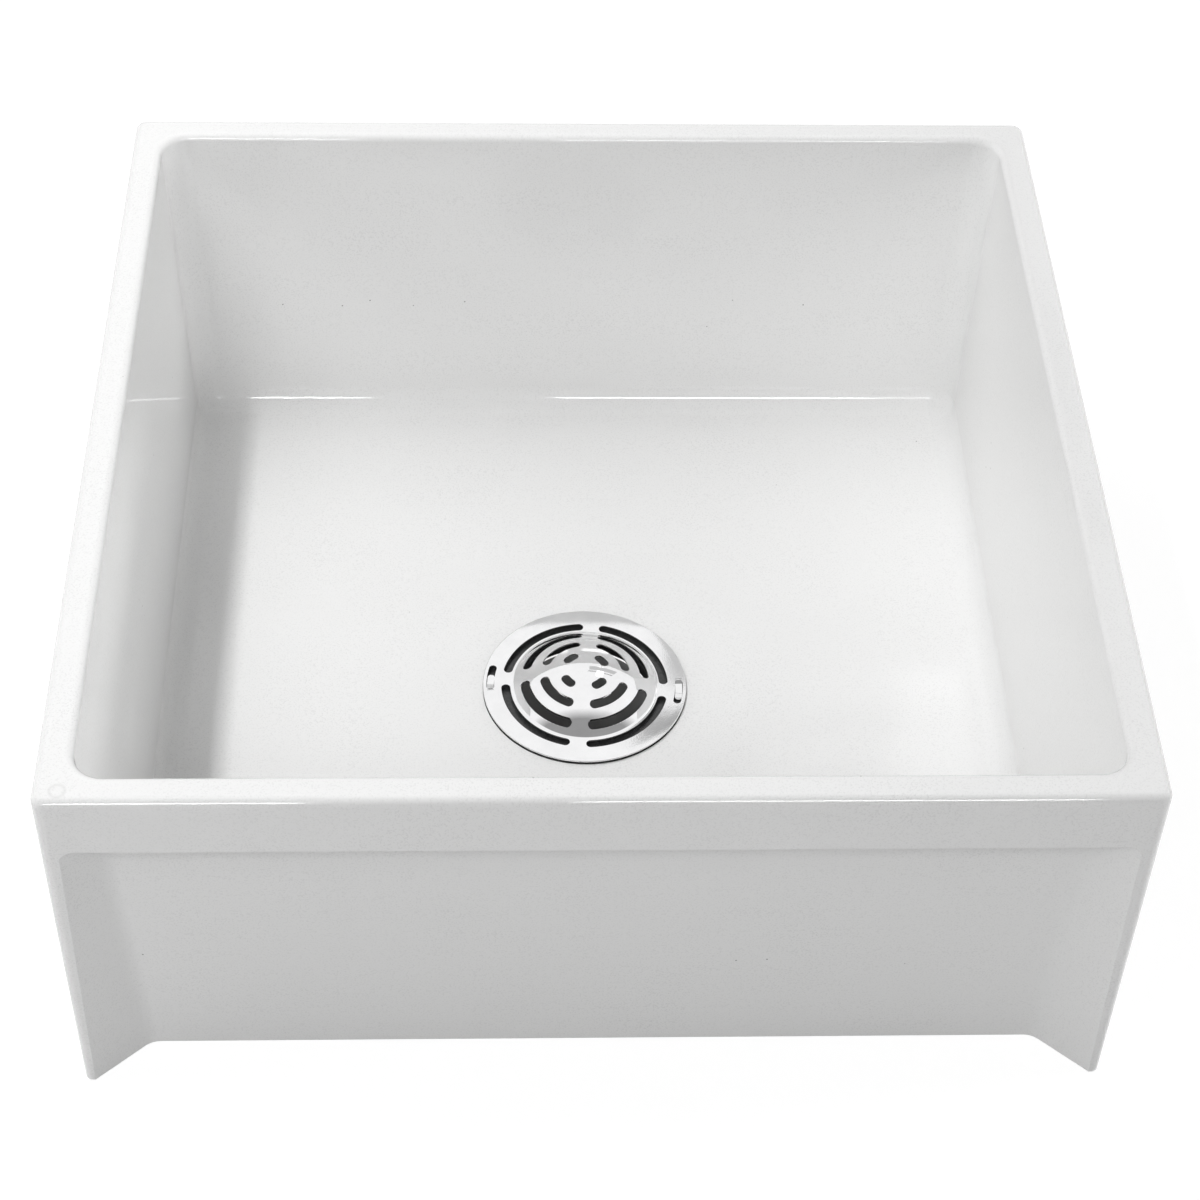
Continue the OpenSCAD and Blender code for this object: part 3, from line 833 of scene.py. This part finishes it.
class StrainerForm:
    """A polished sheet: flat flange, low dome, four rows of slots and two lanced tongues."""

    def __init__(self, sizes):
        self.s = sizes
        self.top = sizes.flange_top
        self.ball = (sizes.dome ** 2 + sizes.rise ** 2) / (2 * sizes.rise)
        self.centre = self.top + sizes.rise - self.ball

    def skin(self, drop, bend):
        """Points from the middle of the dome out to the flange, drop below the top surface."""
        reach = self.ball + self.s.bend
        hub_z = self.top + self.s.bend
        hub = Vector((math.sqrt(reach ** 2 - (hub_z - self.centre) ** 2), hub_z))
        last = math.atan2(hub.x, hub.y - self.centre)
        ball = self.ball - drop
        points = [Vector((ball * math.sin(last * step / 26), self.centre + ball * math.cos(last * step / 26)))
                  for step in range(27)]
        for step in range(1, 7):
            turn = last * (1 - step / 6)
            points.append(hub - Vector((bend * math.sin(turn), bend * math.cos(turn))))
        flat = points[-1].x
        for step in range(1, 5):
            points.append(Vector((flat + (self.s.radius - self.s.edge - flat) * step / 4, self.top - drop)))
        return points

    def profile(self):
        """The sheet's section, from the middle out over the edge and back underneath."""
        sheet, edge, rim = self.s.sheet, self.s.edge, self.s.radius
        upper = self.skin(0.0, self.s.bend)
        lower = self.skin(sheet, self.s.bend + sheet)
        turns = [math.pi / 2 * step / 4 for step in range(1, 5)]
        over = [Vector((rim - edge + edge * math.sin(turn), self.top - edge + edge * math.cos(turn)))
                for turn in turns]
        under = [Vector((point.x, 2 * self.top - sheet - point.y)) for point in reversed(over)]
        return upper + over + under + list(reversed(lower))

    def sheet(self):
        build, steps, profile = bmesh.new(), 180, self.profile()
        first = build.verts.new((0.0, 0.0, profile[0].y))
        last = build.verts.new((0.0, 0.0, profile[-1].y))
        rows = []
        for point in profile[1:-1]:
            rows.append([build.verts.new((point.x * math.cos(2 * math.pi * step / steps),
                                          point.x * math.sin(2 * math.pi * step / steps), point.y))
                         for step in range(steps)])
        for here in range(steps):
            there = (here + 1) % steps
            build.faces.new((first, rows[0][here], rows[0][there]))
            build.faces.new((last, rows[-1][there], rows[-1][here]))
            for inner, outer in zip(rows, rows[1:]):
                build.faces.new((inner[here], outer[here], outer[there], inner[there]))
        return finish_mesh("dome_strainer_sheet", build)

    def slot(self, radius, half, start, end):
        """The outline of one slot along an arc, with round ends."""
        def along(centre, reach, first, last, steps):
            return [centre + reach * Vector((math.cos(first + (last - first) * step / steps),
                                             math.sin(first + (last - first) * step / steps)))
                    for step in range(steps + 1)]
        zero = Vector((0.0, 0.0))
        tip, tail = (radius * Vector((math.cos(turn), math.sin(turn))) for turn in (end, start))
        steps = max(4, int((end - start) * radius / 0.0025))
        return (along(zero, radius + half, start, end, steps) + along(tip, half, end, end + math.pi, 12)[1:-1]
                + along(zero, radius - half, end, start, steps)
                + along(tail, half, start + math.pi, start + 2 * math.pi, 12)[1:-1])

    def openings(self):
        """Cutters for the slots between the four spokes and for the two tongues."""
        s, stacks = self.s, []
        heights = (self.top - SHEET_CUT, self.top + s.rise + DOME_CUT)
        for row in range(4):
            radius = s.first_row - row * s.row_pitch
            lead = math.asin((s.spoke + s.slot) / 2 / radius)
            for quarter in range(4):
                base = math.pi / 2 * quarter - s.spoke_turn
                outline = self.slot(radius, s.slot / 2, base + lead, base + math.pi / 2 - lead)
                stacks.append([(z, outline) for z in heights])
        middle, half = s.tongue_radius, s.tongue / 2
        reach = s.tongue_span / 2 - half / middle
        for base in (-s.spoke_turn, math.pi - s.spoke_turn):
            outline = self.slot(middle, half, base - reach, base + reach)
            stacks.append([(z, outline) for z in (self.top - SHEET_CUT, self.top + SHEET_CUT)])
        return loft("cut", *stacks)

    def tongues(self):
        """Two strips that bend down from the sheet at one end and run level under it, with round tips."""
        s, build = self.s, bmesh.new()
        half, drop = s.tongue / 2 - TONGUE_GAP, s.tongue_drop
        near = s.tongue_span / 2
        tip, root = -near + TONGUE_TIP, near + TONGUE_ROOT
        for base in (-s.spoke_turn, math.pi - s.spoke_turn):
            rows = []
            for step in range(37):
                turn = root + (tip - root) * step / 36
                run = (near - turn) * s.tongue_radius
                (low, share), (high, more) = next(
                    (a, b) for a, b in zip(TONGUE_FALL, TONGUE_FALL[1:]) if run < b[0])
                z = self.top - drop * (share + (more - share) * max(run - low, 0.0) / (high - low))
                left = (turn - tip) * s.tongue_radius
                wide = half if left > half else math.sqrt(max(half ** 2 - (half - left) ** 2, 1e-9))
                across = Vector((math.cos(base + turn), math.sin(base + turn)))
                row = []
                for reach, under in ((wide, 0.0), (wide, s.sheet), (-wide, s.sheet), (-wide, 0.0)):
                    point = across * (s.tongue_radius + reach)
                    row.append(build.verts.new((point.x, point.y, z - under)))
                rows.append(row)
            for here, there in zip(rows, rows[1:]):
                for side in range(4):
                    other = (side + 1) % 4
                    build.faces.new((here[side], here[other], there[other], there[side]))
            build.faces.new(rows[0])
            build.faces.new(list(reversed(rows[-1])))
        return finish_mesh("tongues", build)

    def make(self):
        strainer = combine(self.sheet(), self.openings(), "DIFFERENCE")
        soften(strainer, SLOT_EDGE, 3, 40)
        smooth(strainer, 35)
        tongues = soften(self.tongues(), TONGUE_EDGE, 2, 40)
        smooth(tongues, 35)
        both = {"active_object": strainer, "selected_editable_objects": [strainer, tongues]}
        with bpy.context.temp_override(**both):
            bpy.ops.object.join()
        return strainer


# ---------------------------------------------------------------- operators


class MOPBASIN_OT_stage(Operator):
    """Set the camera, the lamps, the room light and the floor"""

    bl_idname = "mopbasin.stage"
    bl_label = "Stage"

    def execute(self, context):
        settings = context.scene.mopbasin_stage
        camera = bpy.data.objects.new("camera", bpy.data.cameras.new("camera"))
        context.scene.collection.objects.link(camera)
        camera.location = CAMERA_AT
        camera.rotation_euler = [math.radians(turn) for turn in CAMERA_TURN]
        camera.data.sensor_width = SENSOR
        camera.data.lens = settings.lens
        camera.data.clip_start = 0.05
        context.scene.camera = camera
        context.scene.view_settings.view_transform = "Standard"
        for row in LAMPS:
            self.lamp(context, settings.lamps, *row).visible_glossy = False
        for row in STRIPS:
            self.lamp(context, settings.lamps, *row).visible_diffuse = False
        self.room(context, settings.air)
        self.floor()
        self.pipe()
        for name, corners, shade in CARDS:
            self.card(name, corners, shade)
        return {"FINISHED"}

    def lamp(self, context, level, name, at, aim, wide, high, power):
        data = bpy.data.lights.new(name, "AREA")
        data.shape = "RECTANGLE"
        data.size = wide
        data.size_y = high
        data.energy = power * level
        lamp = bpy.data.objects.new(name, data)
        lamp.location = at
        lamp.rotation_euler = (Vector(aim) - Vector(at)).to_track_quat("-Z", "Y").to_euler()
        context.scene.collection.objects.link(lamp)
        return lamp

    def room(self, context, air):
        """White where it is seen, soft light for the rest. In a mirror the front half is grey."""
        world = bpy.data.worlds.new("room")
        context.scene.world = world
        wiring = Wiring(world, "ShaderNodeOutputWorld")
        axes = wiring.add("ShaderNodeSeparateXYZ")
        wiring.link(wiring.add("ShaderNodeTexCoord"), "Generated", axes, "Vector")
        half = wiring.add("ShaderNodeMapRange", {"From Min": -1.0})
        wiring.link(axes, "Y", half, "Value")
        depth = wiring.ramp(half, "Result", MIRROR_RAMP)
        path = wiring.add("ShaderNodeLightPath")
        tint = wiring.mix((path, "Is Camera Ray"), (depth, "Color"), (1.0, 1.0, 1.0))
        soft = wiring.add("ShaderNodeBackground", {"Strength": air, "Color": (1.0, 1.0, 1.0, 1.0)})
        white = wiring.add("ShaderNodeBackground", {"Strength": 1.0})
        wiring.link(tint, 2, white, "Color")
        blend = wiring.join("ShaderNodeMixShader", soft, white)
        wiring.link(wiring.seen(), 0, blend, "Fac")
        wiring.link(blend, "Shader", wiring.out, "Surface")

    def floor(self):
        """A wide pale floor that is nearly white by itself and still takes the basin's shadow."""
        floor = self.rings("floor", [(PIPE_R, FLOOR_Z), (FLOOR_REACH, FLOOR_Z)])
        material = bpy.data.materials.new("pale_floor")
        wiring = Wiring(material)
        path = wiring.add("ShaderNodeLightPath")
        tone = wiring.mix((path, "Is Diffuse Ray"), (FLOOR_TONE,) * 3, (FLOOR_BOUNCE,) * 3)
        paint = wiring.add("ShaderNodeBsdfDiffuse")
        wiring.link(tone, 2, paint, "Color")
        glow = wiring.add("ShaderNodeEmission")
        wiring.link(wiring.seen(FLOOR_GLOW), 0, glow, "Strength")
        both = wiring.join("ShaderNodeAddShader", paint, glow)
        wiring.link(both, "Shader", wiring.out, "Surface")
        floor.data.materials.append(material)
        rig.stage(floor)

    def pipe(self):
        """The inside of a waste pipe under the floor, for what shows through the slots."""
        pipe = self.rings("floor_pipe", [(PIPE_R, FLOOR_Z), (PIPE_R, PIPE_END), (MM, PIPE_END - 0.01)])
        finish = Finish("floor_pipe_grey", Roughness=0.22)
        finish.shader.inputs["Base Color"].default_value = (PIPE_TONE,) * 3 + (1.0,)
        pipe.data.materials.append(finish.material)
        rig.stage(pipe)

    def card(self, name, corners, shade):
        """A flat grey card behind the basin that shows only in mirrors."""
        mesh = bpy.data.meshes.new(name)
        mesh.from_pydata([(x, CARD_Y, z) for x, z in corners], [], [tuple(range(len(corners)))])
        card = make_object(name, mesh)
        material = bpy.data.materials.new(name)
        wiring = Wiring(material)
        wiring.link(wiring.add("ShaderNodeEmission", {"Strength": shade}), 0, wiring.out, "Surface")
        card.data.materials.append(material)
        card.visible_camera = card.visible_diffuse = card.visible_shadow = False
        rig.stage(card)

    def rings(self, name, rows):
        """A round sheet through rings given as (radius, height)."""
        build, steps = bmesh.new(), 96
        loops = [[build.verts.new((radius * math.cos(2 * math.pi * step / steps),
                                   radius * math.sin(2 * math.pi * step / steps), height))
                  for step in range(steps)] for radius, height in rows]
        for inner, outer in zip(loops, loops[1:]):
            for here in range(steps):
                there = (here + 1) % steps
                build.faces.new((inner[here], outer[here], outer[there], inner[there]))
        mesh = bpy.data.meshes.new(name)
        build.to_mesh(mesh)
        build.free()
        return make_object(name, mesh)


class MOPBASIN_OT_basin(Operator):
    """Finish the moulded basin"""

    bl_idname = "mopbasin.basin"
    bl_label = "Basin"

    def execute(self, context):
        settings = context.scene.mopbasin_basin
        basin = BasinForm(settings).make()
        smooth(basin, 32)
        basin.data.name = "mop_basin"
        dress(basin, moulded_shell(settings))
        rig.replaces(basin, "basin")
        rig.ride(basin, "basin")
        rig.slot(basin, "basin")
        return {"FINISHED"}


class MOPBASIN_OT_drain(Operator):
    """Finish the drain body, its nuts, seals and washers"""

    bl_idname = "mopbasin.drain"
    bl_label = "Drain"

    def execute(self, context):
        nodes = frame["nodes"]
        plastic, rubber, fibre = black_plastic(), black_rubber(), pressed_fibre()
        for name in ("drain_body", "locknut", "compression_nut"):
            dress(nodes[name], plastic)
        for name in ("drain_flange_gasket", "underside_washer", "pipe_seal", "strainer_cushion_ring"):
            dress(nodes[name], rubber)
        dress(nodes["slip_washer"], fibre)
        return {"FINISHED"}


class MOPBASIN_OT_strainer(Operator):
    """Finish the dome strainer"""

    bl_idname = "mopbasin.strainer"
    bl_label = "Strainer"

    def execute(self, context):
        settings = context.scene.mopbasin_strainer
        strainer = StrainerForm(settings).make()
        strainer.name = "polished_strainer"
        dress(strainer, polished_steel(settings))
        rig.replaces(strainer, "dome_strainer")
        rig.ride(strainer, "strainer")
        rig.slot(strainer, "stainless")
        return {"FINISHED"}


class MOPBASIN_PT_panel(Panel):
    """Lists the pieces and their settings"""

    bl_idname = "MOPBASIN_PT_panel"
    bl_label = "Mop basin"
    bl_space_type = "VIEW_3D"
    bl_region_type = "UI"
    bl_category = "Mop basin"

    def draw(self, context):
        for operator, settings in (("mopbasin.stage", context.scene.mopbasin_stage),
                                   ("mopbasin.basin", context.scene.mopbasin_basin),
                                   ("mopbasin.drain", None),
                                   ("mopbasin.strainer", context.scene.mopbasin_strainer)):
            box = self.layout.box()
            box.operator(operator)
            for key in (settings.bl_rna.properties.keys() if settings else ()):
                if key not in ("rna_type", "name"):
                    box.prop(settings, key)


CLASSES = (MOPBASIN_PG_basin, MOPBASIN_PG_strainer, MOPBASIN_PG_stage, MOPBASIN_OT_stage,
           MOPBASIN_OT_basin, MOPBASIN_OT_drain, MOPBASIN_OT_strainer, MOPBASIN_PT_panel)


def register():
    for cls in CLASSES:
        bpy.utils.register_class(cls)
    bpy.types.Scene.mopbasin_basin = PointerProperty(type=MOPBASIN_PG_basin)
    bpy.types.Scene.mopbasin_strainer = PointerProperty(type=MOPBASIN_PG_strainer)
    bpy.types.Scene.mopbasin_stage = PointerProperty(type=MOPBASIN_PG_stage)


def unregister():
    del bpy.types.Scene.mopbasin_stage
    del bpy.types.Scene.mopbasin_strainer
    del bpy.types.Scene.mopbasin_basin
    for cls in reversed(CLASSES):
        bpy.utils.unregister_class(cls)


def plain(bounds):
    return [[float(value) for value in corner] for corner in bounds]


def main():
    cad_box = plain(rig.bounds())
    register()
    bpy.ops.mopbasin.stage()
    bpy.ops.mopbasin.basin()
    bpy.ops.mopbasin.drain()
    bpy.ops.mopbasin.strainer()
    with open("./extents.json", "w") as out:
        json.dump({"cad": cad_box, "visual": plain(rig.bounds())}, out)


if __name__ == "__main__":
    main()
